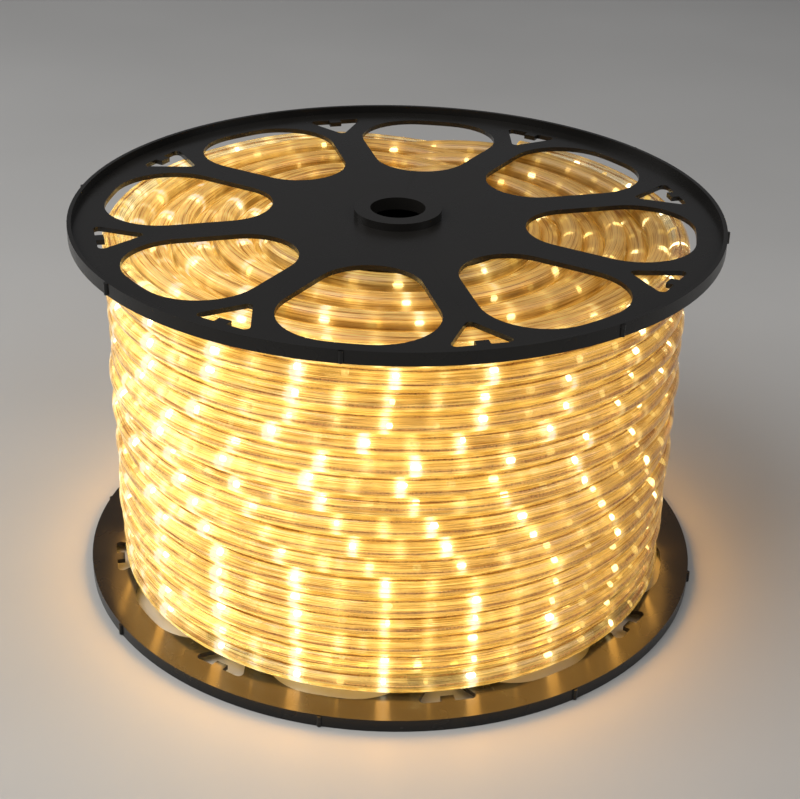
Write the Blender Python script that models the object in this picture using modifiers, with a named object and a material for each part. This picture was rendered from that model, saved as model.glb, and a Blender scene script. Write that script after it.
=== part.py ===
"""A full reel of LED rope light, standing on its lower flange.

Two like moulded flanges hold a plain drum between them, and the clear rope is wound on the drum in layers, each
turn of a layer lying in the grooves of the layer under it. Metres, +Z up along the drum, origin on the floor
below the middle of the drum.
"""

import math

import bmesh
import bpy

# The rope and how it is wound
ROPE_DIAMETER = 0.013
TURNS = 17  # side by side in one layer
LAYERS = 8
LAYER_PITCH = 0.0129  # from one layer's centre line to the next, a little under a rope's thickness
LOOSENESS = 0.0015  # the outermost layer's top turn lies this much wider than its bottom turn

# The drum that it is wound on
DRUM_RADIUS = 0.075
DRUM_WALL = 0.003

# The flange: a thin plate with a rim wall and a hub boss on its outer side
FLANGE_RADIUS = 0.200
PLATE_THICKNESS = 0.003
RIM_HEIGHT = 0.008  # from the plate's inner face to the rim's outer edge
RIM_WALL = 0.0025
SPIGOT_HEIGHT = 0.006  # the ring that plugs into the drum's end
SPIGOT_WALL = 0.0025
ARBOR_RADIUS = 0.017  # the hole for a spindle
BOSS_WALL = 0.010

# The openings in the plate, one large one between each two spokes and a small one at the end of each spoke
SPOKES = 8
SPOKE_WIDTH = 0.022
WINDOW_START = 0.004  # a large opening's inner end, from the drum's outside
WINDOW_INSET = 0.018  # its outer edge, from the flange's edge
WINDOW_CORNER = 0.036  # radius of its two outer corners
NOTCH_INSET = 0.016  # a small opening's outer edge, from the flange's edge
NOTCH_LENGTH = 0.028
NOTCH_WIDTH = 0.034
NOTCH_CORNER = 0.0030
TAB_WIDTH = 0.008  # the tab that stands in from the middle of a small opening's outer edge
TAB_LENGTH = 0.005

# The little ribs left on the rim wall, one outside each large opening
NUB_RADIUS = 0.0015
NUB_INSET = 0.0005  # from each edge of the rim wall

# How the pieces sit
CLEARANCE = 0.0003  # between pieces that touch in the real object
TOP_TURN = math.radians(3.4)  # the top flange is pressed on this much round from the bottom one

# How finely round things are divided
FLANGE_STEPS = 72
DRUM_STEPS = 48
WINDING_STEPS = 44
CORNER_STEPS = 5
LOBE_STEPS = 4
TIP_STEPS = 2
EDGE_STEPS = 2
NUB_STEPS = 8
MERGE = 0.00001
SHARP_ANGLE = math.radians(30)
SEAM_ANGLE = math.radians(1.7)  # where a turned shape starts, off the line of every spoke and opening

# Where the section of one turn has its points, in degrees: 0 is straight out from the axis, 90 straight up
SIDE_POINTS = (76, 40, 0, -40, -76)
UPPER_POINTS = (140, 90, 40)
LOWER_POINTS = (-40, -90, -140)
DRUM_POINT = (180,)

# The finishes
BLACK = (0.012, 0.012, 0.013)
BLACK_ROUGHNESS = 0.45
CLEAR_ROPE = (0.80, 0.62, 0.36)
ROPE_ROUGHNESS = 0.25
WARM_GLOW = (1.0, 0.72, 0.32)

# Worked out from the above
ROPE_RADIUS = ROPE_DIAMETER / 2
STAGGER = ROPE_RADIUS  # every other layer sits half a turn higher
WINDING_HEIGHT = TURNS * ROPE_DIAMETER + STAGGER
INNER_FACE_GAP = WINDING_HEIGHT + 2 * CLEARANCE  # between the two plates' inner faces
BOTTOM_FACE = RIM_HEIGHT
TOP_FACE = BOTTOM_FACE + INNER_FACE_GAP
SPOKE_ANGLE = 2 * math.pi / SPOKES
WINDOW_INNER = DRUM_RADIUS + WINDOW_START
WINDOW_OUTER = FLANGE_RADIUS - WINDOW_INSET
NOTCH_OUTER = FLANGE_RADIUS - NOTCH_INSET
NOTCH_INNER = NOTCH_OUTER - NOTCH_LENGTH


def clear_scene():
    for old in list(bpy.data.objects):
        bpy.data.objects.remove(old, do_unlink=True)


def new_collection(name):
    found = bpy.data.collections.new(name)
    bpy.context.scene.collection.children.link(found)
    return found


def material(name, colour, roughness, glow=None):
    made = bpy.data.materials.new(name)
    made.use_nodes = True
    shader = made.node_tree.nodes["Principled BSDF"]
    shader.inputs["Base Color"].default_value = (*colour, 1.0)
    shader.inputs["Roughness"].default_value = roughness
    shader.inputs["Metallic"].default_value = 0.0
    if glow:
        shader.inputs["Emission Color"].default_value = (*glow, 1.0)
        shader.inputs["Emission Strength"].default_value = 1.0
    return made


def add_object(name, mesh, collection):
    made = bpy.data.objects.new(name, mesh)
    collection.objects.link(made)
    return made


def turned(name, profile, steps, collection):
    """A closed outline of (radius, height) points, turned about Z. It runs down its outer side."""
    count = len(profile)
    mesh = bpy.data.meshes.new(name)
    along, across = math.cos(SEAM_ANGLE), math.sin(SEAM_ANGLE)
    mesh.from_pydata(
        [(radius * along, radius * across, height) for radius, height in profile],
        [(i, (i + 1) % count) for i in range(count)],
        [],
    )
    made = add_object(name, mesh, collection)
    screw = made.modifiers.new("Turn", "SCREW")
    screw.axis = "Z"
    screw.steps = steps
    screw.render_steps = steps
    screw.use_merge_vertices = True
    screw.merge_threshold = MERGE
    return made


def arc(centre, radius, start, end, steps=CORNER_STEPS):
    """Points on a circle from one angle to another, both ends included."""
    return [
        (
            centre[0] + radius * math.cos(start + (end - start) * i / steps),
            centre[1] + radius * math.sin(start + (end - start) * i / steps),
        )
        for i in range(steps + 1)
    ]


def window_outline():
    """A large opening, drawn about +X with a spoke on each side of it.

    Its sides run along the spokes, one circle that touches both sides closes its inner end, and its outer edge
    follows the rim between two round corners.
    """
    half = SPOKE_ANGLE / 2
    side = SPOKE_WIDTH / 2
    sine = math.sin(half)
    sides_meet = side / sine
    tip_radius = (WINDOW_INNER - sides_meet) * sine / (1 - sine)
    tip_centre = (WINDOW_INNER + tip_radius, 0.0)
    # The corner's centre, first along and across the spoke, then along and across the opening
    across = side + WINDOW_CORNER
    reach = WINDOW_OUTER - WINDOW_CORNER
    along = math.sqrt(reach**2 - across**2)
    corner = (
        along * math.cos(half) + across * sine,
        along * sine - across * math.cos(half),
    )
    corner_turn = math.atan2(corner[1], corner[0])
    quarter = math.pi / 2
    upper = arc(corner, WINDOW_CORNER, corner_turn, half + quarter)
    upper += arc(tip_centre, tip_radius, half + quarter, math.pi)
    lower = [(x, -y) for x, y in reversed(upper[:-1])]
    edge = arc((0.0, 0.0), WINDOW_OUTER, -corner_turn, corner_turn, EDGE_STEPS)
    return upper + lower + edge[1:-1]


def notch_outline():
    """A small opening, drawn about +X: two lobes at the rim, a tab between them, and a tip towards the hub."""
    lobe_x = NOTCH_OUTER - NOTCH_CORNER
    lobe_y = NOTCH_WIDTH / 2 - NOTCH_CORNER
    tip = (NOTCH_INNER + NOTCH_CORNER, 0.0)
    lean = math.atan2(lobe_y, lobe_x - tip[0])
    quarter = math.pi / 2
    upper = [(NOTCH_OUTER - TAB_LENGTH, TAB_WIDTH / 2), (NOTCH_OUTER, TAB_WIDTH / 2)]
    upper += arc((lobe_x, lobe_y), NOTCH_CORNER, 0.0, lean + quarter, LOBE_STEPS)
    upper += arc(tip, NOTCH_CORNER, lean + quarter, math.pi, TIP_STEPS)
    return upper + [(x, -y) for x, y in reversed(upper[:-1])]


def extruded(name, outlines, height, collection):
    """Flat closed outlines made one solid each, from -height / 2 to height / 2, in one mesh."""
    curve = bpy.data.curves.new(name, "CURVE")
    curve.dimensions = "2D"
    curve.fill_mode = "BOTH"
    curve.extrude = height / 2
    for outline in outlines:
        spline = curve.splines.new("POLY")
        spline.points.add(len(outline) - 1)
        for point, (x, y) in zip(spline.points, outline):
            point.co = (x, y, 0.0, 1.0)
        spline.use_cyclic_u = True
    drawn = add_object(name + "_outline", curve, collection)
    mesh = welded(evaluated_mesh(drawn))
    bpy.data.objects.remove(drawn, do_unlink=True)
    return add_object(name, mesh, collection)


def evaluated_mesh(source):
    bpy.context.view_layer.update()
    graph = bpy.context.evaluated_depsgraph_get()
    return bpy.data.meshes.new_from_object(source.evaluated_get(graph))


def welded(mesh):
    """The same mesh with its doubled points merged and its faces pointing out."""
    shape = bmesh.new()
    shape.from_mesh(mesh)
    bmesh.ops.remove_doubles(shape, verts=shape.verts, dist=MERGE)
    bmesh.ops.recalc_face_normals(shape, faces=shape.faces)
    shape.to_mesh(mesh)
    shape.free()
    return mesh


def turned_points(outline, angle):
    cosine, sine = math.cos(angle), math.sin(angle)
    return [(x * cosine - y * sine, x * sine + y * cosine) for x, y in outline]


def as_cutter(made):
    made.hide_render = True
    made.display_type = "WIRE"
    return made


def openings_cutter(name, outline, first_angle, collection):
    """Like openings round a flange, as solids that stand well past both sides of the plate."""
    outlines = [turned_points(outline, first_angle + i * SPOKE_ANGLE) for i in range(SPOKES)]
    return as_cutter(extruded(name, outlines, 2 * RIM_HEIGHT, collection))


def rim_nubs(collection):
    """The little ribs on the outside of the rim wall."""
    shape = bmesh.new()
    height = RIM_HEIGHT - 2 * NUB_INSET
    for i in range(SPOKES):
        angle = (i + 0.5) * SPOKE_ANGLE
        made = bmesh.ops.create_cone(
            shape,
            cap_ends=True,
            segments=NUB_STEPS,
            radius1=NUB_RADIUS,
            radius2=NUB_RADIUS,
            depth=height,
        )
        place = (
            FLANGE_RADIUS * math.cos(angle),
            FLANGE_RADIUS * math.sin(angle),
            NUB_INSET + height / 2,
        )
        bmesh.ops.translate(shape, verts=made["verts"], vec=place)
    mesh = bpy.data.meshes.new("rim_nubs")
    shape.to_mesh(mesh)
    shape.free()
    return as_cutter(add_object("rim_nubs", mesh, collection))


def flange_profile():
    """The section of the moulding. Height 0 is the plate's inner face, and the rim stands up on the outer side."""
    rim_inner = FLANGE_RADIUS - RIM_WALL
    spigot_outer = DRUM_RADIUS - DRUM_WALL - CLEARANCE
    spigot_inner = spigot_outer - SPIGOT_WALL
    boss = ARBOR_RADIUS + BOSS_WALL
    return [
        (FLANGE_RADIUS, RIM_HEIGHT),
        (FLANGE_RADIUS, 0.0),
        (spigot_outer, 0.0),
        (spigot_outer, -SPIGOT_HEIGHT),
        (spigot_inner, -SPIGOT_HEIGHT),
        (spigot_inner, 0.0),
        (ARBOR_RADIUS, 0.0),
        (ARBOR_RADIUS, RIM_HEIGHT),
        (boss, RIM_HEIGHT),
        (boss, PLATE_THICKNESS),
        (rim_inner, PLATE_THICKNESS),
        (rim_inner, RIM_HEIGHT),
    ]


def flange_mesh(cutters):
    """One flange moulding, turned, cut and finished, as a mesh that both flanges share."""
    blank = turned("flange_blank", flange_profile(), FLANGE_STEPS, cutters)
    for tool, operation in (
        (openings_cutter("windows", window_outline(), SPOKE_ANGLE / 2, cutters), "DIFFERENCE"),
        (openings_cutter("notches", notch_outline(), 0.0, cutters), "DIFFERENCE"),
        (rim_nubs(cutters), "UNION"),
    ):
        cut = blank.modifiers.new(tool.name, "BOOLEAN")
        cut.operation = operation
        cut.solver = "EXACT"
        cut.object = tool
    mesh = welded(evaluated_mesh(blank))
    bpy.data.objects.remove(blank, do_unlink=True)
    mesh.name = "flange"
    mesh.shade_smooth()
    mesh.set_sharp_from_angle(angle=SHARP_ANGLE)
    return mesh


def make_flanges(collection, cutters, finish):
    mesh = flange_mesh(cutters)
    mesh.materials.clear()
    mesh.materials.append(finish)
    bottom = add_object("bottom_flange", mesh, collection)
    bottom.location.z = BOTTOM_FACE
    bottom.rotation_euler.x = math.pi
    top = add_object("top_flange", mesh, collection)
    top.location.z = TOP_FACE
    top.rotation_euler.z = TOP_TURN


def make_drum(collection, finish):
    """The tube that joins the flanges, closed at each end by a flange's hub."""
    low = BOTTOM_FACE + CLEARANCE
    high = TOP_FACE - CLEARANCE
    inner = DRUM_RADIUS - DRUM_WALL
    drum = turned(
        "drum",
        [(DRUM_RADIUS, high), (DRUM_RADIUS, low), (inner, low), (inner, high)],
        DRUM_STEPS,
        collection,
    )
    drum.data.materials.append(finish)


def layer_radius(layer):
    return DRUM_RADIUS + CLEARANCE + ROPE_RADIUS + layer * LAYER_PITCH


def layer_lift(layer):
    """The outermost layer starts on the bottom flange, the next one half a turn higher, and so on inwards."""
    return STAGGER * ((LAYERS - 1 - layer) % 2)


def turn_centre(layer, turn):
    """The middle of one turn's section. The outermost layer is laid a little open, so it fills the whole gap."""
    base = BOTTOM_FACE + CLEARANCE + ROPE_RADIUS
    pitch = ROPE_DIAMETER
    if layer == LAYERS - 1:
        pitch += STAGGER / (TURNS - 1)
    loose = LOOSENESS * layer / (LAYERS - 1) * turn / (TURNS - 1)
    return (layer_radius(layer) + loose, base + layer_lift(layer) + turn * pitch)


def on_turn(layer, turn, degrees):
    """Points on the outside of one turn's round section."""
    radius, height = turn_centre(layer, turn)
    return [
        (
            radius + ROPE_RADIUS * math.cos(math.radians(degree)),
            height + ROPE_RADIUS * math.sin(math.radians(degree)),
        )
        for degree in degrees
    ]


def winding_profile():
    """The outline of the wound rope: one turn of each layer on each end, and a row of round turns down its side."""
    last = LAYERS - 1
    top = TURNS - 1
    points = on_turn(0, top, DRUM_POINT)
    for layer in range(LAYERS):
        points += on_turn(layer, top, UPPER_POINTS)
    points += on_turn(last, top, SIDE_POINTS[2:])
    for turn in range(top - 1, 0, -1):
        points += on_turn(last, turn, SIDE_POINTS)
    points += on_turn(last, 0, SIDE_POINTS[:-2])
    for layer in reversed(range(LAYERS)):
        points += on_turn(layer, 0, LOWER_POINTS)
    return points + on_turn(0, 0, DRUM_POINT)


def make_winding(collection, finish):
    winding = turned("rope_winding", winding_profile(), WINDING_STEPS, collection)
    winding.data.materials.append(finish)


def main():
    clear_scene()
    parts = new_collection("led_rope_light_reel")
    cutters = new_collection("cutters")
    black_plastic = material("black_plastic", BLACK, BLACK_ROUGHNESS)
    lit_rope = material("lit_rope", CLEAR_ROPE, ROPE_ROUGHNESS, glow=WARM_GLOW)
    make_flanges(parts, cutters, black_plastic)
    make_drum(parts, black_plastic)
    make_winding(parts, lit_rope)


main()
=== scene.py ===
# %% [markdown]
# # A full reel of led rope light
#
# The real object is a black moulded reel, two like flanges pressed onto the ends of a drum, wound full of clear
# rope with lit lamps inside it. The cad model gives the solids and their places. This script gives each of them
# its looks: the flanges are made again with rounded edges, and the rope becomes a real tube of clear plastic with
# its wires and lamps inside. Everything is in metres, with Z up along the drum.

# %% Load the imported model
import math
import random

import bpy
from mathutils import Matrix, Vector
from mathutils import noise as smooth_noise


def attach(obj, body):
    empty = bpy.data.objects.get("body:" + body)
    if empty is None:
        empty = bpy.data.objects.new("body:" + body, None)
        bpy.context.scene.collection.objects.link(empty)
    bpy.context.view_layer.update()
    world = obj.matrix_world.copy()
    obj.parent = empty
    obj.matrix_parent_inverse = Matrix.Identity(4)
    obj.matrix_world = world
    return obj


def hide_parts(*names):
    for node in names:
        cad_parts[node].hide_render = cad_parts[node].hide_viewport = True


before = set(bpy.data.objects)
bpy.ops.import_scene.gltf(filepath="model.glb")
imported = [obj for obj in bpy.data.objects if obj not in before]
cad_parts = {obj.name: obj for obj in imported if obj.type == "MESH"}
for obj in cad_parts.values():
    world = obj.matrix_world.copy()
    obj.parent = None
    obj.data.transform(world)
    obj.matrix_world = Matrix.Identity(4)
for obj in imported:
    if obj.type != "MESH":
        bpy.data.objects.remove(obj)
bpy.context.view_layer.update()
print("cad nodes:", sorted(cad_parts))

# %% [markdown]
# The sizes below are the ones that the cad model was built from. The rope is 13 mm thick and lies in 8 layers of
# 17 turns. Every other layer sits half a turn higher, because a round rope falls into the grooves of the layer
# under it.

# %% The reel's sizes
ROPE_RADIUS = 0.0065
TURNS = 17
LAYERS = 8
LAYER_PITCH = 0.0129
LOOSENESS = 0.0015
FIRST_LAYER_RADIUS = 0.0818
CLEARANCE = 0.0003

FLANGE_RADIUS = 0.200
PLATE_THICKNESS = 0.003
RIM_HEIGHT = 0.008
RIM_WALL = 0.0025
SPIGOT_RADIUS = 0.0717
SPIGOT_WALL = 0.0025
SPIGOT_HEIGHT = 0.006
ARBOR_RADIUS = 0.017
BOSS_RADIUS = 0.027
BOTTOM_FACE = 0.008
TOP_FACE = 0.2361
SPOKES = 8
SPOKE_TURN = 2 * math.pi / SPOKES
TOP_TURN = math.radians(3.4)
print("room between the flanges, in mm:", round((TOP_FACE - BOTTOM_FACE) * 1000, 1))

# %% [markdown]
# ## The camera
#
# The camera stands where the photographer stood: a little over the reel, looking down at about 28 degrees. Its
# place was found by fitting the two flanges' rings to the picture, so the numbers are not round.

# %% Camera
CAMERA_AZIMUTH = math.radians(-101.2)
CAMERA_DISTANCE = 0.9576
CAMERA_HEIGHT = 0.6205
CAMERA_PITCH = math.radians(28.03)
CAMERA_YAW = math.radians(0.24)
CAMERA_ROLL = math.radians(1.33)
CAMERA_LENS = 74.97


def place_camera():
    bpy.ops.object.camera_add()
    camera = bpy.context.object
    camera.name = "camera"
    camera.data.lens = CAMERA_LENS
    camera.data.clip_start = 0.01
    turn = Matrix.Rotation(CAMERA_AZIMUTH + math.pi / 2, 3, "Z")
    level = math.cos(CAMERA_PITCH)
    forward = Vector((math.sin(CAMERA_YAW) * level, math.cos(CAMERA_YAW) * level, -math.sin(CAMERA_PITCH)))
    right = Vector((math.cos(CAMERA_YAW), -math.sin(CAMERA_YAW), 0.0))
    up = right.cross(forward)
    rolled_right = math.cos(CAMERA_ROLL) * right + math.sin(CAMERA_ROLL) * up
    rolled_up = -math.sin(CAMERA_ROLL) * right + math.cos(CAMERA_ROLL) * up
    axes = Matrix((turn @ rolled_right, turn @ rolled_up, turn @ -forward)).transposed()
    place = turn @ Vector((0.0, -CAMERA_DISTANCE, CAMERA_HEIGHT))
    camera.matrix_world = Matrix.Translation(place) @ axes.to_4x4()
    bpy.context.scene.camera = camera
    return camera


bpy.ops.object.select_all(action="DESELECT")
camera = place_camera()
print("camera at", [round(value, 3) for value in camera.location])

# %% [markdown]
# ## Small helpers
#
# Blender's operators work on what is selected, so each step starts by selecting one object only. A node tree is
# easier to read when one line makes one node, so `add` makes a node, sets it and links it in one call.

# %% Helpers for objects


def pick(*objects):
    """Select these objects only, the first one active."""
    bpy.ops.object.select_all(action="DESELECT")
    for each in objects:
        each.select_set(True)
    bpy.context.view_layer.objects.active = objects[0]


def apply_place():
    bpy.ops.object.transform_apply(location=True, rotation=True, scale=True)


def apply_modifier(made, kind, **settings):
    """Add a modifier, set it, and make it part of the mesh."""
    pick(made)
    modifier = made.modifiers.new(kind, kind)
    for key, value in settings.items():
        setattr(modifier, key, value)
    bpy.ops.object.modifier_apply(modifier=modifier.name)


def joined(objects, name):
    pick(*objects)
    if len(objects) > 1:
        bpy.ops.object.join()
    made = bpy.context.object
    made.name = made.data.name = name
    return made


def triangles(made):
    return sum(len(face.vertices) - 2 for face in made.data.polygons)


# %% Helpers for node trees


def add(tree, kind, sockets=None, **settings):
    """One node: settings are its own properties, and sockets gives an input a value or a link."""
    made = tree.nodes.new("ShaderNode" + kind)
    for key, value in settings.items():
        setattr(made, key, value)
    for key, value in (sockets or {}).items():
        if isinstance(value, bpy.types.NodeSocket):
            tree.links.new(value, made.inputs[key])
        else:
            made.inputs[key].default_value = value
    return made


def calc(tree, operation, *values):
    """A Math node's answer."""
    return add(tree, "Math", dict(enumerate(values)), operation=operation).outputs[0]


def remap(tree, value, from_low, from_high, to_low, to_high, kind="SMOOTHSTEP"):
    sockets = {
        "Value": value,
        "From Min": from_low,
        "From Max": from_high,
        "To Min": to_low,
        "To Max": to_high,
    }
    return add(tree, "MapRange", sockets, interpolation_type=kind).outputs[0]


def noise(tree, vector, scale, detail=2.0, roughness=0.5):
    sockets = {"Vector": vector, "Scale": scale, "Detail": detail, "Roughness": roughness}
    return add(tree, "TexNoise", sockets).outputs["Fac"]


def attribute(tree, name):
    return add(tree, "Attribute", attribute_name=name).outputs["Fac"]


def ramp(tree, value, stops):
    """A colour ramp through (place, colour) stops."""
    made = add(tree, "ValToRGB", {"Fac": value})
    points = made.color_ramp.elements
    while len(points) < len(stops):
        points.new(1.0)
    for point, (place, colour) in zip(points, stops):
        point.position = place
        point.color = (*colour, 1.0)
    return made.outputs["Color"]


def new_group(name, inputs, outputs):
    """An empty shader group with its sockets, and its input and output nodes."""
    tree = bpy.data.node_groups.new(name, "ShaderNodeTree")
    for label, kind, value in inputs:
        socket = tree.interface.new_socket(label, in_out="INPUT", socket_type=kind)
        socket.default_value = value
    for label, kind in outputs:
        tree.interface.new_socket(label, in_out="OUTPUT", socket_type=kind)
    return tree, tree.nodes.new("NodeGroupInput").outputs, tree.nodes.new("NodeGroupOutput").inputs


FLOAT = "NodeSocketFloat"
COLOUR = "NodeSocketColor"
VECTOR = "NodeSocketVector"


def new_material(name, group=None, links=None, group_values=None, **values):
    """A Principled material. Plain values go on its own sockets, and links names the group's outputs to use."""
    made = bpy.data.materials.new(name)
    made.use_nodes = True
    made.cycles.emission_sampling = "NONE"
    tree = made.node_tree
    shader = tree.nodes["Principled BSDF"]
    for label, value in values.items():
        shader.inputs[label.replace("_", " ").title().replace("Ior", "IOR")].default_value = value
    if group:
        effect = add(tree, "Group", node_tree=group)
        for label, value in (group_values or {}).items():
            effect.inputs[label].default_value = value
        for output, socket in links.items():
            tree.links.new(effect.outputs[output], shader.inputs[socket])
    return made


print("helpers ready")

# %% [markdown]
# ## The floor and the light
#
# A plain pale floor and three large soft lamps, as in a small product studio. The lights are kept low so that
# the glow of the rope itself stays the brightest thing in the picture.

# %% Floor
bpy.ops.mesh.primitive_plane_add(size=9.0)
floor = bpy.context.object
floor.name = "floor"


def floor_group():
    tree, _, out = new_group("pale_floor", [], [("Colour", COLOUR), ("Roughness", FLOAT)])
    place = add(tree, "TexCoord").outputs["Object"]
    cloud = noise(tree, place, 2.5, 3.0)
    tree.links.new(ramp(tree, cloud, [(0.3, (0.56, 0.55, 0.53)), (0.7, (0.60, 0.59, 0.57))]), out["Colour"])
    tree.links.new(remap(tree, cloud, 0.3, 0.7, 0.42, 0.52), out["Roughness"])
    return tree


floor.data.materials.append(
    new_material("pale_floor", floor_group(), {"Colour": "Base Color", "Roughness": "Roughness"})
)
print("floor ready")

# %% Lights
LIGHTS = (
    # name, azimuth and elevation in degrees, distance, size, power
    ("key_light", -155.0, 55.0, 1.9, 1.4, 18.0),
    ("fill_light", -30.0, 40.0, 2.2, 1.6, 10.0),
    ("back_light", 150.0, 35.0, 2.2, 1.4, 9.0),
)


def place_light(name, azimuth, elevation, distance, size, power):
    azimuth, elevation = math.radians(azimuth), math.radians(elevation)
    away = Vector(
        (math.cos(azimuth) * math.cos(elevation), math.sin(azimuth) * math.cos(elevation), math.sin(elevation))
    )
    bpy.ops.object.light_add(type="AREA", location=away * distance + Vector((0.0, 0.0, 0.12)))
    light = bpy.context.object
    light.name = name
    light.rotation_euler = away.to_track_quat("Z", "Y").to_euler()
    light.data.shape = "DISK"
    light.data.size = size
    light.data.energy = power


for light_values in LIGHTS:
    place_light(*light_values)

world = bpy.data.worlds.new("studio")
world.use_nodes = True
world.node_tree.nodes["Background"].inputs["Color"].default_value = (0.95, 0.96, 1.0, 1.0)
world.node_tree.nodes["Background"].inputs["Strength"].default_value = 0.16
bpy.context.scene.world = world
bpy.context.scene.view_settings.view_transform = "Standard"
print(len(LIGHTS), "lights")

# %% [markdown]
# ## The rope's path
#
# A winder lays the rope round after round, climbs one rope's width at the end of each turn, and at a flange steps
# out onto the next layer and goes back. So the whole rope is one path. It is measured here in turns from its
# inner end: turn 0 starts layer 0 and turn 136 ends layer 7. Each turn lies level nearly all the way round and
# climbs in a short stretch at the back, as the real reel's lower rows do.

# %% The path
CLIMB = 0.16  # the part of a turn that a climb takes
FRONT = math.radians(-101.2)  # the side of the reel that the photograph shows
BACK = FRONT + math.pi  # the climbs are at the back
WHOLE_ROPE = LAYERS * TURNS
SAG = 0.0045
CROWDING = 0.0014
WANDER_OUT = 0.0015
WANDER_UP = 0.0007


def ease(x):
    x = min(max(x, 0.0), 1.0)
    return x * x * (3.0 - 2.0 * x)


def rows_climbed(turns):
    """How many rows the rope has climbed in its layer, from 0 to 16."""
    nearest = math.floor(turns + 0.5)
    if nearest < 1:
        return 0.0
    if nearest > TURNS - 1:
        return TURNS - 1.0
    return nearest - 1 + ease((turns - nearest) / CLIMB + 0.5)


def row_height(layer, row):
    """The height of a row's centre line. The outer layer is laid a little open, so it fills the whole gap."""
    low = BOTTOM_FACE + CLEARANCE + ROPE_RADIUS
    high = TOP_FACE - CLEARANCE - ROPE_RADIUS
    if layer == LAYERS - 1:
        return low + (high - low) * row / (TURNS - 1)
    lift = ROPE_RADIUS if (LAYERS - 1 - layer) % 2 else 0.0
    return low + lift + row * 2 * ROPE_RADIUS


def sag(row, angle):
    """The outer layer's upper rows sag at the reel's two sides, and there its rows crowd in and out."""
    side = (1.0 - math.cos(2 * (angle - FRONT))) / 2
    down = SAG * side * ease((row - 6.0) / 6.0) * ease((TURNS - 1.0 - row) / 3.0)
    crowded = CROWDING * side * ease((row - 5.0) / 2.0) * ease((12.5 - row) / 2.0)
    return crowded * math.cos(math.pi * row), -down


def wander(layer, turns):
    """No rope lies quite true: a slow wander in and out, and up and down."""
    place = Vector((turns * 4.1, layer * 7.3, 0.5))
    return WANDER_OUT * smooth_noise.noise(place), WANDER_UP * smooth_noise.noise(place + Vector((0.0, 0.0, 31.0)))


def on_layer(layer, turns):
    """Radius and height of the rope after so many turns of one layer. Odd layers are wound upwards."""
    row = rows_climbed(turns)
    if layer % 2 == 0:
        row = TURNS - 1 - row
    out, up = wander(layer, turns)
    if layer == LAYERS - 1:
        more_out, more_up = sag(row, BACK + 2 * math.pi * turns)
        out, up = out + more_out, up + more_up
    edge = min(row, TURNS - 1 - row, 1.0)
    out += LOOSENESS * layer / (LAYERS - 1) * row / (TURNS - 1)
    return FIRST_LAYER_RADIUS + layer * LAYER_PITCH + out, row_height(layer, row) + up * edge


def rope_at(turns):
    """Radius, height and angle of the rope's centre line."""
    layer = min(max(int(turns // TURNS), 0), LAYERS - 1)
    radius, height = on_layer(layer, turns - layer * TURNS)
    joint = round(turns / TURNS)
    if 0 < joint < LAYERS and abs(turns - joint * TURNS) < CLIMB / 2:
        before = on_layer(joint - 1, TURNS)
        after = on_layer(joint, 0.0)
        out = ease((turns - joint * TURNS) / CLIMB + 0.5)
        radius = before[0] + (after[0] - before[0]) * out
        height = before[1] + (after[1] - before[1]) * out
    return radius, height, BACK + 2 * math.pi * turns


metres = [0.0]
for eighth in range(WHOLE_ROPE * 8):
    metres.append(metres[-1] + rope_at((eighth + 0.5) / 8)[0] * math.pi / 4)


def metres_at(turns):
    """The rope's length from its inner end."""
    place = min(max(turns, 0.0), WHOLE_ROPE - 1e-6) * 8
    whole = int(place)
    return metres[whole] + (metres[whole + 1] - metres[whole]) * (place - whole)


print("rope on the reel, in metres:", round(metres[-1], 1))

# %% [markdown]
# ## Where the lamps are
#
# There is a lamp every 26 mm, and every other one faces outwards and looks bright. On the outer layer a turn holds
# almost exactly 21 bright lamps, so in the lowest rows they stand above each other in columns, and further up the
# columns lean and break up. `lamp_count` is a number that grows along the rope and is whole at each bright lamp
# and a half at each dim one. The geometry and the material both use it, so the glow lies on the lamps.

# %% The lamps' count
LAMP_SPACING = 0.0515  # between two bright lamps
COLUMNS = 21
FIRST_COLUMN = FRONT - math.radians(0.9)
STRAIGHT_ROWS = 5
LEAN = math.radians(3.0)  # a row, above the straight ones
SCATTER = math.radians(8.0)


def column_lean(row):
    above = max(row - STRAIGHT_ROWS, 0.0)
    wild = ease((row - 8.0) / 4.0)
    return -LEAN * above + SCATTER * wild * smooth_noise.noise(Vector((row * 1.7, 4.7, 0.3))) * 2.0


def lamp_count(turns):
    outer = (LAYERS - 1) * TURNS
    if turns < outer:
        return metres_at(turns) / LAMP_SPACING
    # whole on the columns of the outer layer
    angle = BACK + 2 * math.pi * turns
    row = rows_climbed(turns - outer)
    count = (angle - FIRST_COLUMN - column_lean(row)) / (2 * math.pi) * COLUMNS
    start = (BACK + 2 * math.pi * outer - FIRST_COLUMN) / (2 * math.pi) * COLUMNS
    return count - start + metres_at(outer) / LAMP_SPACING + (start - metres_at(outer) / LAMP_SPACING) % 1.0


print("bright lamps on the rope:", int(lamp_count(WHOLE_ROPE - 0.01)))

# %% [markdown]
# ## The rope as a tube
#
# By hand, a coil is a circle and a Screw. The circle is the rope's section. The Screw modifier turns it round the
# drum's axis as many times as the stretch has turns. Then each ring of the tube is carried to its own place on
# the path. Three numbers are kept on every point for the material: the length along the rope, and how far the
# point faces outwards and upwards on the section. The uv map lays each turn on its own row.

# %% Wound tubes
COIL_RADIUS = 0.1  # of the plain coil, before its rings are carried to the path
COIL_CLIMB = 0.02


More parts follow.
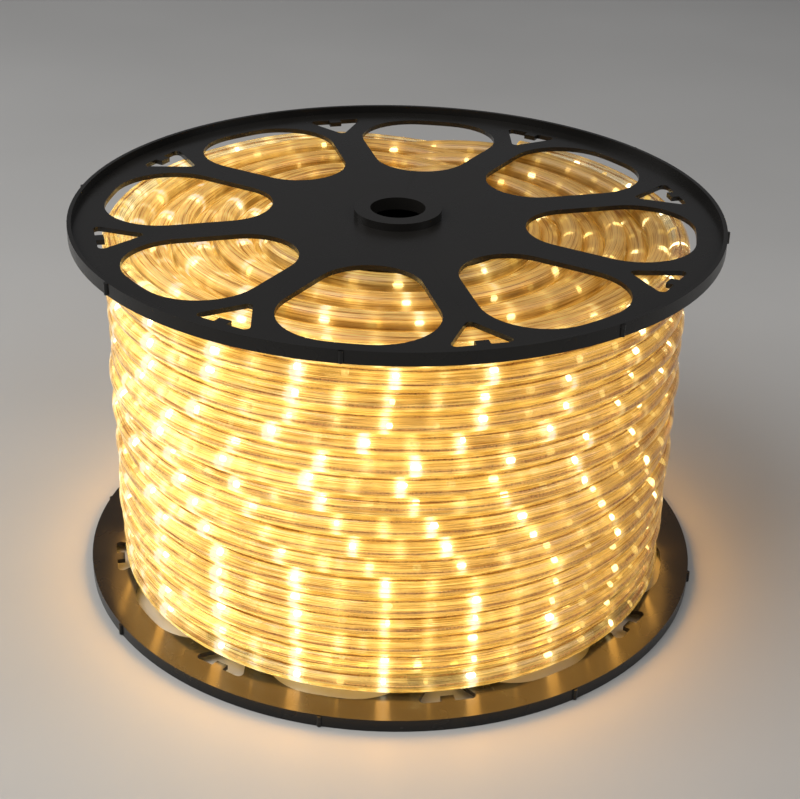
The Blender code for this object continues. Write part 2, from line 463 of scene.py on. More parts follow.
def wound_tube(name, start, end, steps, points, radius, offset=None, roll=None):
    """A stretch of tube along the rope, from one turn to another, moved off the centre line by offset."""
    rings = int(round((end - start) * steps))
    bpy.ops.object.select_all(action="DESELECT")
    bpy.ops.mesh.primitive_circle_add(
        vertices=points, radius=radius, location=(COIL_RADIUS, 0.0, 0.0), rotation=(math.pi / 2, 0.0, 0.0)
    )
    made = bpy.context.object
    made.name = made.data.name = name
    apply_place()
    section = [(v.co.x - COIL_RADIUS, v.co.z) for v in made.data.vertices]
    apply_modifier(
        made,
        "SCREW",
        axis="Z",
        angle=2 * math.pi * (end - start),
        screw_offset=COIL_CLIMB * (end - start),
        steps=rings,
        render_steps=rings,
        use_smooth_shade=True,
    )
    turns_at = [start + (end - start) * i / rings for i in range(rings + 1)]
    places, length, lamps = [], [], []
    for turns in turns_at:
        ring_radius, height, angle = rope_at(turns)
        if offset:
            rolled = roll(turns)
            ring_radius += offset * math.cos(rolled)
            height += offset * math.sin(rolled)
        cosine, sine = math.cos(angle), math.sin(angle)
        for out, up in section:
            places += [(ring_radius + out) * cosine, (ring_radius + out) * sine, height + up]
        length += [metres_at(turns)] * points
        lamps += [lamp_count(turns)] * points
    mesh = made.data
    mesh.vertices.foreach_set("co", places)
    for label, values in (
        ("rope_metres", length),
        ("lamp_count", lamps),
        ("outward", [out / radius for out, _ in section] * (rings + 1)),
        ("upward", [up / radius for _, up in section] * (rings + 1)),
    ):
        mesh.attributes.new(label, "FLOAT", "POINT").data.foreach_set("value", values)
    lay_out_turns(mesh, points, steps, start, end)
    close_ends(made, points, rings)
    return made


def lay_out_turns(mesh, points, steps, start, end):
    """The uv map: one row for each turn, with the length across and the section up."""
    rows = math.ceil(end - start)
    layout = mesh.uv_layers.new(name="OFBake").data
    mesh["uv_rows"] = rows
    for face in mesh.polygons:
        ids = [divmod(mesh.loops[i].vertex_index, points) for i in face.loop_indices]
        first_ring = min(ring for ring, _ in ids)
        row = min(first_ring // steps, rows - 1)
        wraps = any(place == points - 1 for _, place in ids) and any(place == 0 for _, place in ids)
        for corner, (ring, place) in zip(face.loop_indices, ids):
            if wraps and place == 0:
                place = points
            layout[corner].uv = ((ring - row * steps) / steps, row + 0.04 + 0.92 * place / points)


def close_ends(made, points, rings):
    """A flat cut end on both ends of a tube, and all faces pointing outwards."""
    pick(made)
    bpy.ops.object.mode_set(mode="EDIT")
    bpy.ops.mesh.select_mode(type="VERT")
    for first in (0, rings * points):
        bpy.ops.mesh.select_all(action="DESELECT")
        bpy.ops.object.mode_set(mode="OBJECT")
        for i in range(first, first + points):
            made.data.vertices[i].select = True
        bpy.ops.object.mode_set(mode="EDIT")
        bpy.ops.mesh.edge_face_add()
    bpy.ops.mesh.select_all(action="SELECT")
    bpy.ops.mesh.normals_make_consistent(inside=False)
    bpy.ops.object.mode_set(mode="OBJECT")


def stack_rows(tubes, name):
    """Join tubes into one piece, with the rows of their uv maps one above the other."""
    all_rows = sum(tube.data["uv_rows"] for tube in tubes)
    first = 0
    for tube in tubes:
        layout = tube.data.uv_layers["OFBake"].data
        for corner in layout:
            corner.uv = (corner.uv[0], (corner.uv[1] + first) / all_rows)
        first += tube.data["uv_rows"]
    return joined(tubes, name)


print("tube maker ready")

# %% [markdown]
# The outer layer is the one that everybody sees, so it is a clear tube for its whole length. It starts in the
# last turn of the layer under it and ends at the back, just under the top flange.

# %% Outer layer
CLEAR_TURNS = 1.1
SKIN = 0.00005  # keeps the tubes inside the cad model's box
OUTER_START = (LAYERS - 1) * TURNS
outer_stretch = (OUTER_START - CLEAR_TURNS, WHOLE_ROPE - CLIMB / 2)
rope_outer = stack_rows([wound_tube("outer", *outer_stretch, 112, 16, ROPE_RADIUS - SKIN)], "rope_outer_layer")
print("outer layer:", triangles(rope_outer), "triangles")

# %% [markdown]
# Through the openings of the flanges the end turns of all the other layers show. Each pair of layers is joined
# there by the step that the rope makes from one to the next. Only the turns that can be seen are made clear. One
# turn further in, and in the layer under the outer one, a solid glowing rope stands for the depth of the coil.

# %% End turns
HIDDEN_TURNS = 2.2
joints = [layer * TURNS for layer in range(LAYERS)]

clear_stretches = [(max(joint - CLEAR_TURNS, 0.0), joint + CLEAR_TURNS) for joint in joints[:-1]]
rope_ends = stack_rows(
    [
        wound_tube(f"end_{i}", start, end, 96, 14, ROPE_RADIUS - SKIN)
        for i, (start, end) in enumerate(clear_stretches)
    ],
    "rope_end_turns",
)

hidden_stretches = [(joint + CLEAR_TURNS, joint + HIDDEN_TURNS) for joint in joints[:-2]]
hidden_stretches += [(joint - HIDDEN_TURNS, joint - CLEAR_TURNS) for joint in joints[1:-1]]
hidden_stretches.append((joints[-2] + CLEAR_TURNS, joints[-1] - CLEAR_TURNS))
rope_depth = stack_rows(
    [
        wound_tube(f"depth_{i}", start, end, 80, 12, ROPE_RADIUS - 2 * SKIN)
        for i, (start, end) in enumerate(hidden_stretches)
    ],
    "rope_inner_turns",
)
print("end turns:", triangles(rope_ends), "inner turns:", triangles(rope_depth), "triangles")

# %% [markdown]
# ## Inside the rope
#
# Two bare supply wires run beside the lamps for the whole length. A rope rolls a little while it is wound, so the
# wires wander round the centre line from turn to turn.

# %% Wires
WIRE_RADIUS = 0.00042
WIRE_OFFSET = 0.0026
WIRE_INSET = 0.002  # in turns, from the rope's cut ends


def wire_roll(turns):
    """The angle of the wires on the section: near upright, with a slow wander."""
    return math.pi / 2 + 0.9 * smooth_noise.noise(Vector((turns * 1.7, 0.3, 9.1)))


wire_stretches = clear_stretches + [outer_stretch]
rope_wires = stack_rows(
    [
        wound_tube(f"wire_{i}_{side}", start, end, 72, 6, WIRE_RADIUS, side * WIRE_OFFSET, wire_roll)
        for i, (start, end) in enumerate((a + WIRE_INSET, b - WIRE_INSET) for a, b in wire_stretches)
        for side in (-1, 1)
    ],
    "rope_wires",
)
print("wires:", triangles(rope_wires), "triangles")

# %% [markdown]
# A lamp is a small round-ended capsule that lies along the rope. One is modelled from a sphere, stretched in the
# middle, and then copied to every place where the lamp count is whole or a half. There are more than a thousand,
# so the one that is copied has only a few dozen faces. No two sit quite alike in the rope, so each copy is a little
# longer or shorter and a little off the centre line.

# %% Lamps
LAMP_RADIUS = 0.0012
LAMP_LENGTH = 0.0040
LAMP_SHIFT = 0.0012  # along the rope
LAMP_LIFT = 0.0012  # off its centre line
LAMP_STRETCH = (0.7, 1.6)
LAMP_SEED = 5
SEARCH_STEPS = 700  # a turn


def model_lamp():
    bpy.ops.object.select_all(action="DESELECT")
    bpy.ops.mesh.primitive_uv_sphere_add(segments=8, ring_count=5, radius=LAMP_RADIUS)
    made = bpy.context.object
    for point in made.data.vertices:
        point.co.z += math.copysign(LAMP_LENGTH / 2 - LAMP_RADIUS, point.co.z)
    pick(made)
    bpy.ops.object.mode_set(mode="EDIT")
    bpy.ops.mesh.select_all(action="SELECT")
    bpy.ops.mesh.normals_make_consistent(inside=False)
    bpy.ops.object.mode_set(mode="OBJECT")
    return made


def lamp_places(start, end):
    """The turns at which the lamp count is whole or a half, each with its count."""
    found = []
    before = lamp_count(start) * 2
    for i in range(1, int((end - start) * SEARCH_STEPS)):
        turns = start + i / SEARCH_STEPS
        now = lamp_count(turns) * 2
        if math.floor(now) != math.floor(before):
            found.append((turns, math.floor(now) / 2))
        before = now
    return found


def lay_lamps(name, model, stretches, bright):
    """One mesh with a copy of the model at every lamp that is bright, or at every one that is dim."""
    points = [tuple(v.co) for v in model.data.vertices]
    faces = [tuple(face.vertices) for face in model.data.polygons]
    corners = [tuple(corner.uv) for corner in model.data.uv_layers.active.data]
    all_points, all_faces, counts = [], [], []
    copies = 0
    chance = random.Random(LAMP_SEED)
    for start, end in stretches:
        for turns, count in lamp_places(start + 0.01, end - 0.01):
            if (count % 1.0 == 0.0) != bright:
                continue
            shift = chance.uniform(-1.0, 1.0) * LAMP_SHIFT / (2 * math.pi * rope_at(turns)[0])
            radius, height, angle = rope_at(turns + shift)
            radius += chance.uniform(-1.0, 1.0) * LAMP_LIFT
            height += chance.uniform(-1.0, 1.0) * LAMP_LIFT
            stretch = chance.uniform(*LAMP_STRETCH)
            cosine, sine = math.cos(angle), math.sin(angle)
            first = len(all_points)
            for across, up, along in points:
                out, along = radius + across, along * stretch
                all_points.append((out * cosine - along * sine, out * sine + along * cosine, height + up))
            all_faces += [tuple(first + i for i in face) for face in faces]
            counts += [count] * len(points)
            copies += 1
    mesh = bpy.data.meshes.new(name)
    mesh.from_pydata(all_points, [], all_faces)
    mesh.update()
    mesh.shade_smooth()
    mesh.attributes.new("lamp_count", "FLOAT", "POINT").data.foreach_set("value", counts)
    side = math.ceil(math.sqrt(copies))
    layout = mesh.uv_layers.new(name="OFBake").data
    for copy in range(copies):
        row, column = divmod(copy, side)
        for i, (u, v) in enumerate(corners):
            cell = (column + 0.1 + 0.8 * min(max(u, 0.0), 1.0), row + 0.1 + 0.8 * v)
            layout[copy * len(corners) + i].uv = (cell[0] / side, cell[1] / side)
    made = bpy.data.objects.new(name, mesh)
    bpy.context.scene.collection.objects.link(made)
    pick(made)
    bpy.ops.object.mode_set(mode="EDIT")
    bpy.ops.mesh.select_all(action="SELECT")
    bpy.ops.mesh.normals_make_consistent(inside=False)
    bpy.ops.object.mode_set(mode="OBJECT")
    return made


lamp = model_lamp()
bright_lamps = lay_lamps("rope_lamps_bright", lamp, wire_stretches, True)
dim_lamps = lay_lamps("rope_lamps_dim", lamp, wire_stretches, False)
bpy.data.objects.remove(lamp, do_unlink=True)
print("lamps:", triangles(bright_lamps) + triangles(dim_lamps), "triangles")

# %% [markdown]
# ## The flanges
#
# A flange is one moulding: a thin plate, a rim wall on its outer side, a boss round the hole for a spindle, and a
# short spigot that plugs into the drum. It is made from one round face by insets and extrusions, the openings are
# cut with Booleans, and a Bevel rounds every edge by half a millimetre, because a moulded edge is never sharp.

# %% Flange blank
FLANGE_POINTS = 144


def select_faces(made, test):
    """Select, in edit mode, the faces whose centre and normal pass the test."""
    bpy.ops.mesh.select_mode(type="FACE")
    bpy.ops.mesh.select_all(action="DESELECT")
    bpy.ops.object.mode_set(mode="OBJECT")
    for face in made.data.polygons:
        face.select = test(face)
    bpy.ops.object.mode_set(mode="EDIT")


def middle_face(height):
    """A test for the flat face on the axis at one height."""
    return lambda face: face.center.xy.length < 1e-4 and abs(face.center.z - height) < 1e-5 and len(face.vertices) > 8


def raise_by(distance):
    bpy.ops.mesh.extrude_region_move(TRANSFORM_OT_translate={"value": (0.0, 0.0, distance)})


def inset_to(now, wanted):
    """Inset the selected round face, so that its corners come from one radius to another."""
    bpy.ops.mesh.inset(thickness=(now - wanted) * math.cos(math.pi / FLANGE_POINTS))


def flange_blank():
    """The moulding with its inner face at height 0 and its rim upwards, before the openings are cut."""
    bpy.ops.object.select_all(action="DESELECT")
    bpy.ops.mesh.primitive_circle_add(vertices=FLANGE_POINTS, radius=FLANGE_RADIUS, fill_type="NGON")
    made = bpy.context.object
    bpy.ops.object.mode_set(mode="EDIT")
    bpy.ops.mesh.select_all(action="SELECT")
    raise_by(RIM_HEIGHT)
    bpy.ops.mesh.select_all(action="SELECT")
    bpy.ops.mesh.normals_make_consistent(inside=False)
    # the outer side: rim wall, plate and boss
    select_faces(made, middle_face(RIM_HEIGHT))
    inset_to(FLANGE_RADIUS, FLANGE_RADIUS - RIM_WALL)
    raise_by(PLATE_THICKNESS - RIM_HEIGHT)
    inset_to(FLANGE_RADIUS - RIM_WALL, BOSS_RADIUS)
    raise_by(RIM_HEIGHT - PLATE_THICKNESS)
    inset_to(BOSS_RADIUS, ARBOR_RADIUS)
    # the inner side: the spigot's ring
    select_faces(made, middle_face(0.0))
    inset_to(FLANGE_RADIUS, SPIGOT_RADIUS)
    raise_by(-SPIGOT_HEIGHT)
    inset_to(SPIGOT_RADIUS, SPIGOT_RADIUS - SPIGOT_WALL)
    raise_by(SPIGOT_HEIGHT)
    inset_to(SPIGOT_RADIUS - SPIGOT_WALL, ARBOR_RADIUS)
    # the hole for a spindle
    top, low = middle_face(RIM_HEIGHT), middle_face(0.0)
    select_faces(made, lambda face: top(face) or low(face))
    bpy.ops.mesh.bridge_edge_loops()
    bpy.ops.mesh.select_all(action="SELECT")
    bpy.ops.mesh.normals_make_consistent(inside=False)
    bpy.ops.object.mode_set(mode="OBJECT")
    return made


blank = flange_blank()
print("flange blank:", triangles(blank), "triangles, size", [round(value, 4) for value in blank.dimensions])

# %% [markdown]
# The openings are drawn as flat outlines about the X axis, then copied round the flange. A large one has its
# sides along two spokes, a round inner end, and wide round corners at the rim. A small one sits at the end of a
# spoke, like a rounded arrow head with a tab in its outer edge.

# %% Outlines of the openings
WINDOW_INNER = 0.079
WINDOW_OUTER = 0.182
WINDOW_CORNER = 0.036
SPOKE_WIDTH = 0.022
NOTCH_OUTER = 0.184
NOTCH_INNER = 0.156
NOTCH_WIDTH = 0.034
NOTCH_CORNER = 0.003
TAB_WIDTH = 0.008
TAB_LENGTH = 0.005
CUTTER_START = -0.004
CUTTER_HEIGHT = 0.014


def arc(centre, radius, start, end, steps):
    return [
        (
            centre[0] + radius * math.cos(start + (end - start) * i / steps),
            centre[1] + radius * math.sin(start + (end - start) * i / steps),
        )
        for i in range(steps + 1)
    ]


def window_outline():
    half, side = SPOKE_TURN / 2, SPOKE_WIDTH / 2
    sine = math.sin(half)
    tip_radius = (WINDOW_INNER - side / sine) * sine / (1 - sine)
    across = side + WINDOW_CORNER
    along = math.sqrt((WINDOW_OUTER - WINDOW_CORNER) ** 2 - across**2)
    corner = (along * math.cos(half) + across * sine, along * sine - across * math.cos(half))
    corner_turn = math.atan2(corner[1], corner[0])
    upper = arc(corner, WINDOW_CORNER, corner_turn, half + math.pi / 2, 14)
    upper += arc((WINDOW_INNER + tip_radius, 0.0), tip_radius, half + math.pi / 2, math.pi, 12)
    lower = [(x, -y) for x, y in reversed(upper[:-1])]
    return upper + lower + arc((0.0, 0.0), WINDOW_OUTER, -corner_turn, corner_turn, 8)[1:-1]


def notch_outline():
    lobe = (NOTCH_OUTER - NOTCH_CORNER, NOTCH_WIDTH / 2 - NOTCH_CORNER)
    tip = (NOTCH_INNER + NOTCH_CORNER, 0.0)
    lean = math.atan2(lobe[1], lobe[0] - tip[0])
    upper = [(NOTCH_OUTER - TAB_LENGTH, TAB_WIDTH / 2), (NOTCH_OUTER, TAB_WIDTH / 2)]
    upper += arc(lobe, NOTCH_CORNER, 0.0, lean + math.pi / 2, 8)
    upper += arc(tip, NOTCH_CORNER, lean + math.pi / 2, math.pi, 5)
    return upper + [(x, -y) for x, y in reversed(upper[:-1])]


def cutters(name, outline, first_turn):
    """Eight solid copies of an outline, standing through the plate."""
    made = []
    for spoke in range(SPOKES):
        bpy.ops.object.select_all(action="DESELECT")
        bpy.ops.mesh.primitive_circle_add(vertices=len(outline), radius=0.05, fill_type="NGON")
        cutter = bpy.context.object
        turn = Matrix.Rotation(first_turn + spoke * SPOKE_TURN, 3, "Z")
        for point, (x, y) in zip(cutter.data.vertices, outline):
            point.co = turn @ Vector((x, y, CUTTER_START))
        bpy.ops.object.mode_set(mode="EDIT")
        bpy.ops.mesh.select_all(action="SELECT")
        raise_by(CUTTER_HEIGHT)
        bpy.ops.mesh.select_all(action="SELECT")
        bpy.ops.mesh.normals_make_consistent(inside=False)
        bpy.ops.object.mode_set(mode="OBJECT")
        made.append(cutter)
    return joined(made, name)


window_cutters = cutters("window_cutters", window_outline(), SPOKE_TURN / 2)
notch_cutters = cutters("notch_cutters", notch_outline(), 0.0)
print("cutters:", triangles(window_cutters), "and", triangles(notch_cutters), "triangles")

# %% Cut and round the flange
EDGE_ROUND = 0.0005
NUB_RADIUS = 0.0015
NUB_HEIGHT = 0.007


def rim_nubs():
    """The little upright ribs on the rim wall, one outside each large opening."""
    made = []
    for spoke in range(SPOKES):
        angle = (spoke + 0.5) * SPOKE_TURN
        bpy.ops.object.select_all(action="DESELECT")
        bpy.ops.mesh.primitive_cylinder_add(
            vertices=12,
            radius=NUB_RADIUS,
            depth=NUB_HEIGHT,
            location=(FLANGE_RADIUS * math.cos(angle), FLANGE_RADIUS * math.sin(angle), RIM_HEIGHT / 2),
        )
        apply_place()
        made.append(bpy.context.object)
    return joined(made, "rim_nubs")


nubs = rim_nubs()
for tool, operation in ((window_cutters, "DIFFERENCE"), (notch_cutters, "DIFFERENCE"), (nubs, "UNION")):
    apply_modifier(blank, "BOOLEAN", operation=operation, solver="EXACT", object=tool)
for tool in (window_cutters, notch_cutters, nubs):
    bpy.data.objects.remove(tool, do_unlink=True)
apply_modifier(
    blank, "BEVEL", width=EDGE_ROUND, segments=2, limit_method="ANGLE", angle_limit=math.radians(40)
)
pick(blank)
bpy.ops.object.shade_smooth_by_angle(angle=math.radians(35))
apply_modifier(blank, "WEIGHTED_NORMAL", mode="FACE_AREA", weight=80, keep_sharp=True)
print("finished flange:", triangles(blank), "triangles")

# %% Set both flanges in place


def place_flange(name, model, place):
    made = model.copy()
    made.data = model.data.copy()
    made.name = made.data.name = name
    bpy.context.scene.collection.objects.link(made)
    made.matrix_world = place
    pick(made)
    apply_place()
    return made


bottom = place_flange(
    "flange_lower", blank, Matrix.Translation((0.0, 0.0, BOTTOM_FACE)) @ Matrix.Rotation(math.pi, 4, "X")
)
top = place_flange("flange_upper", blank, Matrix.Translation((0.0, 0.0, TOP_FACE)) @ Matrix.Rotation(TOP_TURN, 4, "Z"))
bpy.data.objects.remove(blank, do_unlink=True)
print("flanges at", [round(value, 4) for value in (bottom.bound_box[0][2], top.bound_box[6][2])])

# %% [markdown]
# ## Black moulded plastic
#
# The reel is cheap black plastic. Up close it has a fine grain from the mould, slow changes of gloss where the
# plastic flowed, and a little dust. All of it follows the object's own coordinates.

# %% Black plastic


def black_group():
    tree, given, out = new_group(
        "moulded_black",
        [("Gloss", FLOAT, 0.45), ("Grain", FLOAT, 0.12)],
        [("Colour", COLOUR), ("Roughness", FLOAT), ("Normal", VECTOR)],
    )
    place = add(tree, "TexCoord").outputs["Object"]
    flow = noise(tree, place, 14.0, 4.0, 0.6)
    grain = noise(tree, place, 1500.0, 2.0, 0.6)
    dust = remap(tree, noise(tree, place, 420.0, 3.0, 0.7), 0.62, 0.80, 0.0, 1.0)
    patches = remap(tree, noise(tree, place, 22.0, 3.0), 0.45, 0.75, 0.0, 0.35)
    dusty = calc(tree, "MULTIPLY", dust, patches)
    dark = ramp(tree, flow, [(0.3, (0.011, 0.010, 0.0088)), (0.7, (0.016, 0.0145, 0.0125))])
    mixed = add(
        tree, "MixRGB", {"Fac": dusty, "Color1": dark, "Color2": (0.036, 0.032, 0.028, 1.0)}, blend_type="MIX"
    ).outputs[0]
    tree.links.new(mixed, out["Colour"])
    wave = remap(tree, flow, 0.3, 0.7, -0.06, 0.06)
    rough = calc(tree, "ADD", calc(tree, "ADD", given["Gloss"], wave), calc(tree, "MULTIPLY", dusty, 0.3))
    tree.links.new(rough, out["Roughness"])
    bump = add(tree, "Bump", {"Strength": given["Grain"], "Distance": 0.0004, "Height": grain})
    tree.links.new(bump.outputs["Normal"], out["Normal"])
    return tree


black_links = {"Colour": "Base Color", "Roughness": "Roughness", "Normal": "Normal"}
moulded_black = black_group()
flange_finish = new_material(
    "black_plastic", moulded_black, black_links, {"Gloss": 0.27, "Grain": 0.08}, specular_ior_level=0.32
)
drum_finish = new_material(
    "drum_plastic", moulded_black, black_links, {"Gloss": 0.50, "Grain": 0.15}, specular_ior_level=0.32
)
for flange in (bottom, top):
    flange.data.materials.clear()
    flange.data.materials.append(flange_finish)
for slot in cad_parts["drum"].material_slots:
    slot.material = drum_finish
print("black plastic on 3 pieces")

# %% [markdown]
# ## Lit clear plastic
#
# The rope's plastic is clear and full of light from its own lamps. It is a warm yellow that goes nearly white
# at each lamp, with fine darker streaks along the rope where the extruder left lines, and brown painted shade in
# the grooves between the turns. So the shader is a clear one, and a glow is added that depends on the lamp
# count, on the length along the rope and on the side of the section. On the coil's side the grooves lie above and
# below each turn. At its ends, seen through the flanges, they lie beside it, so `From above` swaps them. There the
# rope is also hazier and glows less, because less of its light gets out, and its tint is painted darker and more
# golden, a painted shade for the turns that lie down in the flanges' openings.

# %% Glow of the rope
BRIGHT_SIDE = math.radians(-166.0)  # the side of the reel that glows the most
BRIGHT_REACH = 0.17


def strength_group():
    """How strong each lamp looks from outside, at the whole counts and between them, and how far away one is."""
    tree, _, out = new_group("lamp_strength", [], [("Strength", FLOAT), ("Between", FLOAT), ("Away", FLOAT)])
    count = attribute(tree, "lamp_count")
    nearest = calc(tree, "FLOOR", calc(tree, "ADD", count, 0.5))
    own = add(tree, "TexWhiteNoise", {"W": nearest}, noise_dimensions="1D").outputs["Value"]
    tree.links.new(remap(tree, own, 0.0, 1.0, 0.35, 1.25, "LINEAR"), out["Strength"])
    half = calc(tree, "ADD", calc(tree, "FLOOR", count), 0.5)
    other = add(tree, "TexWhiteNoise", {"W": half}, noise_dimensions="1D").outputs["Value"]
    tree.links.new(remap(tree, other, 0.0, 1.0, 0.2, 2.0, "LINEAR"), out["Between"])
    tree.links.new(calc(tree, "ABSOLUTE", calc(tree, "SUBTRACT", count, nearest)), out["Away"])
    return tree


def lines_along(tree, stretch, fineness, scale, low, high):
    """A noise that is long along the rope and fine across it."""
    vector = add(
        tree,
        "CombineXYZ",
        {
            "X": calc(tree, "MULTIPLY", attribute(tree, "rope_metres"), stretch),
            "Y": calc(tree, "MULTIPLY", attribute(tree, "outward"), fineness),
            "Z": calc(tree, "MULTIPLY", attribute(tree, "upward"), fineness),
        },
    ).outputs[0]
    return remap(tree, noise(tree, vector, scale, 3.0, 0.6), low, high, 0.0, 1.0)


def glow_group():
    tree, given, out = new_group(
        "rope_glow",
        [
            ("Body", FLOAT, 0.4),
            ("Spots", FLOAT, 1.0),
            ("Streaks", FLOAT, 0.5),
            ("Grooves", FLOAT, 0.6),
            ("Haze", FLOAT, 0.06),
            ("Far side", FLOAT, 0.30),
            ("From above", FLOAT, 0.0),
            ("Stain", COLOUR, (1.0, 1.0, 1.0, 1.0)),
            ("Groove stain", FLOAT, 0.0),
        ],
        [("Glow", COLOUR), ("Tint", COLOUR), ("Roughness", FLOAT), ("Normal", VECTOR)],
    )
    # soft streaks, and fine sharp lines between them
    streak = lines_along(tree, 14.0, 3.4, 2.0, 0.36, 0.64)
    line = lines_along(tree, 11.0, 6.5, 1.8, 0.50, 0.60)
    marks = calc(tree, "MAXIMUM", calc(tree, "MULTIPLY", streak, 0.7), line)
    streak_shade = calc(tree, "SUBTRACT", 1.0, calc(tree, "MULTIPLY", given["Streaks"], marks))
    tint = ramp(tree, line, [(0.0, (1.0, 0.96, 0.68)), (1.0, (0.62, 0.43, 0.17))])
    # one side of the reel is a little brighter, because more of its lamps face out there
    place = add(tree, "TexCoord").outputs["Object"]
    across = add(
        tree, "VectorMath", {0: place, 1: (math.cos(BRIGHT_SIDE), math.sin(BRIGHT_SIDE), 0.0)}, operation="DOT_PRODUCT"
    ).outputs["Value"]
    facing = remap(tree, across, -BRIGHT_REACH, BRIGHT_REACH, given["Far side"], 1.30, "LINEAR")
    # grooves: painted shade, a darker glow and tint where a turn meets its neighbours, above and below it, or beside
    # it at the coil's ends
    above, beside = (calc(tree, "ABSOLUTE", attribute(tree, label)) for label in ("upward", "outward"))
    steep = remap(tree, given["From above"], 0.0, 1.0, above, beside, "LINEAR")
    starts = remap(tree, given["From above"], 0.0, 1.0, 0.60, 0.84, "LINEAR")
    groove = remap(tree, steep, starts, 1.0, 0.0, 1.0)
    comes_and_goes = remap(tree, noise(tree, place, 26.0, 2.0), 0.38, 0.60, 0.35, 1.0)
    groove = calc(tree, "MULTIPLY", groove, comes_and_goes)
    groove_shade = calc(tree, "SUBTRACT", 1.0, calc(tree, "MULTIPLY", given["Grooves"], groove))
    # painted shade: the tint is multiplied by a darker, golden colour for the end turns deep in the flanges' openings
    shade_tinted = {"Fac": 1.0, "Color1": tint, "Color2": given["Stain"]}
    tint = add(tree, "MixRGB", shade_tinted, blend_type="MULTIPLY").outputs[0]
    # painted shade: the tint goes towards dark brown in the grooves, as far as the groove tint value says
    darker = {"Fac": calc(tree, "MULTIPLY", given["Groove stain"], groove), "Color1": tint}
    darker["Color2"] = (0.12, 0.06, 0.015, 1.0)
    tree.links.new(add(tree, "MixRGB", darker, blend_type="MIX").outputs[0], out["Tint"])
    # lamps: a hot spot and a soft flare at each whole count, and a fainter one at each half
    lamp = add(tree, "Group", node_tree=lamp_strength).outputs
    core = remap(tree, lamp["Away"], 0.0, 0.09, 0.9, 0.0)
    core = calc(tree, "MULTIPLY", core, remap(tree, steep, 0.35, 0.95, 1.0, 0.5))
    flare = remap(tree, lamp["Away"], 0.02, 0.17, 0.45, 0.0)
    half_away = calc(tree, "SUBTRACT", 0.5, lamp["Away"])
    faint = calc(tree, "MULTIPLY", remap(tree, half_away, 0.0, 0.13, 0.30, 0.0), lamp["Between"])
    spots = calc(tree, "ADD", calc(tree, "MULTIPLY", calc(tree, "ADD", core, flare), lamp["Strength"]), faint)
    spots = calc(tree, "MULTIPLY", spots, given["Spots"])
    body = calc(tree, "MULTIPLY", calc(tree, "MULTIPLY", given["Body"], streak_shade), groove_shade)
    total = calc(tree, "MULTIPLY", calc(tree, "ADD", body, spots), facing)
    stops = [
        (0.0, (0.030, 0.013, 0.002)),
        (0.25, (0.28, 0.155, 0.028)),
        (0.5, (0.64, 0.42, 0.105)),
        (0.8, (0.97, 0.78, 0.32)),
        (1.0, (1.0, 0.97, 0.78)),
    ]
    tree.links.new(ramp(tree, total, stops), out["Glow"])
    tree.links.new(calc(tree, "ADD", given["Haze"], calc(tree, "MULTIPLY", streak, 0.08)), out["Roughness"])
    bump = add(tree, "Bump", {"Strength": 0.12, "Distance": 0.0003, "Height": streak})
    tree.links.new(bump.outputs["Normal"], out["Normal"])
    return tree


lamp_strength = strength_group()
rope_glow = glow_group()
glow_links = {"Glow": "Emission Color", "Roughness": "Roughness", "Normal": "Normal"}
clear_links = {**glow_links, "Tint": "Base Color"}
# in each rope finish below, the groove value sets how much painted shade darkens the glow between the turns
clear_rope = new_material(
    "clear_rope",
    rope_glow,
    clear_links,
    {"Body": 0.525, "Spots": 0.78, "Streaks": 1.0, "Grooves": 0.70, "Haze": 0.07},
    transmission_weight=0.9,
    emission_strength=0.62,
    ior=1.48,
)
end_rope = new_material(
    "clear_rope_ends",
    rope_glow,
    clear_links,
    {
        "Body": 0.60,
        "Spots": 0.60,
        "Streaks": 1.0,
        "Grooves": 0.85,
        "Haze": 0.32,
        "Far side": 0.14,
        "From above": 1.0,
        # painted shade: the end turns' tint is darker and more golden, and dark brown in the grooves
        "Stain": (0.84, 0.66, 0.36, 1.0),
        "Groove stain": 0.80,
    },
    transmission_weight=0.65,
    emission_strength=0.58,
    ior=1.48,
)
deep_rope = new_material(
    "deep_rope",
    rope_glow,
    glow_links,
    {"Body": 0.64, "Spots": 0.35, "Streaks": 0.80, "Grooves": 0.80, "Far side": 0.18},
    base_color=(0.62, 0.44, 0.14, 1.0),
    emission_strength=0.70,
)
rope_outer.data.materials.append(clear_rope)
rope_ends.data.materials.append(end_rope)
rope_depth.data.materials.append(deep_rope)
print("rope finishes ready")

# %% Finish of the wires and lamps


def small_group(name, dark, light, scale):
    tree, _, out = new_group(name, [], [("Colour", COLOUR), ("Roughness", FLOAT)])
    place = add(tree, "TexCoord").outputs["Object"]
    grain = noise(tree, place, scale, 3.0)
    tree.links.new(ramp(tree, grain, [(0.35, dark), (0.65, light)]), out["Colour"])
    tree.links.new(remap(tree, grain, 0.3, 0.7, 0.22, 0.42), out["Roughness"])
    return tree


small_links = {"Colour": "Base Color", "Roughness": "Roughness"}
wire_finish = new_material(
    "wire_copper",
    small_group("stranded_copper", (0.30, 0.13, 0.04), (0.62, 0.33, 0.13), 900.0),
    small_links,
    metallic=0.9,
)


def lamp_finish_group():
    tree, _, out = new_group("lamp_body", [], [("Colour", COLOUR), ("Roughness", FLOAT)])
    strength = add(tree, "Group", node_tree=lamp_strength).outputs["Strength"]
    tree.links.new(
        ramp(tree, strength, [(0.30, (0.10, 0.055, 0.015)), (0.7, (0.8, 0.62, 0.30)), (1.0, (1.0, 0.90, 0.62))]),
        out["Colour"],
    )
    grain = noise(tree, add(tree, "TexCoord").outputs["Object"], 700.0, 3.0)
    tree.links.new(remap(tree, grain, 0.3, 0.7, 0.22, 0.42), out["Roughness"])
    return tree


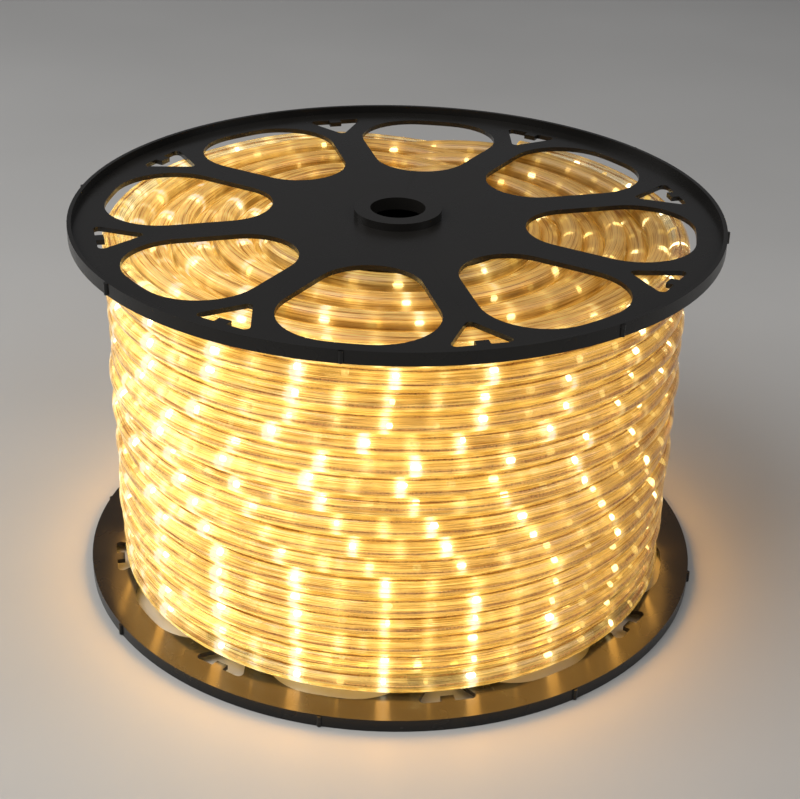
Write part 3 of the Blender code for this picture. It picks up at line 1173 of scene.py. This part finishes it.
lamp_links = {"Colour": "Emission Color", "Roughness": "Roughness"}
amber = (0.30, 0.19, 0.06, 1.0)
lamp_side = small_group("lamp_side", (0.62, 0.42, 0.12), (0.85, 0.62, 0.20), 700.0)
bright_finish = new_material("lamp_bright", lamp_finish_group(), lamp_links, base_color=amber, emission_strength=5.0)
dim_finish = new_material("lamp_dim", lamp_side, lamp_links, base_color=amber, emission_strength=1.0)
rope_wires.data.materials.append(wire_finish)
bright_lamps.data.materials.append(bright_finish)
dim_lamps.data.materials.append(dim_finish)
print("wires and lamps finished")

# %% [markdown]
# ## The rope's light on the reel
#
# A path tracer finds small bright things inside clear plastic only by chance. So the light that the foot of the coil
# throws on the lower flange comes from warm strip lights of the scene, which the camera doesn't see. A ring of wide
# ones stands for the glowing rope, and a narrow one for each column of lamps, a little further out so that the wide
# ones don't hide it. They face outwards and a little down.

# %% Warm lights
WARM = (1.0, 0.47, 0.08)
STRIP_HEIGHT = 0.024
STRIP_MIDDLE = 0.0215
STRIP_TILT = math.radians(20.0)
STRIPS = (
    # name, distance from the axis, width, power
    ("foot_light", 0.1826, 0.056, 0.012),
    ("column_light", 0.1832, 0.008, 0.0050),
)


def strip_light(name, angle, out, width, power):
    turn = Matrix.Rotation(angle, 3, "Z")
    bpy.ops.object.light_add(type="AREA", location=turn @ Vector((out, 0.0, STRIP_MIDDLE)))
    strip = bpy.context.object
    strip.name = name
    outwards = turn @ Vector((math.cos(STRIP_TILT), 0.0, -math.sin(STRIP_TILT)))
    strip.rotation_euler = outwards.to_track_quat("-Z", "Y").to_euler()
    strip.data.shape = "RECTANGLE"
    strip.data.size = width
    strip.data.size_y = STRIP_HEIGHT
    strip.data.color = WARM
    strip.data.energy = power
    strip.visible_camera = False
    strip.visible_transmission = False


for column in range(COLUMNS):
    angle = FIRST_COLUMN + column * 2 * math.pi / COLUMNS
    for name, *values in STRIPS:
        strip_light(f"{name}_{column}", angle, *values)
print("warm lights:", len(STRIPS) * COLUMNS)

# %% [markdown]
# ## Hand the pieces over
#
# Each piece rides on the one body, and the cad nodes that the pieces stand for are hidden.

# %% Ride and replace
rope_pieces = (rope_outer, rope_ends, rope_depth, rope_wires, bright_lamps, dim_lamps)
for piece in (bottom, top, *rope_pieces):
    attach(piece, "root")
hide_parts("bottom_flange")
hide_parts("top_flange")
for piece in rope_pieces:
    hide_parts("rope_winding")
print("pieces handed over")
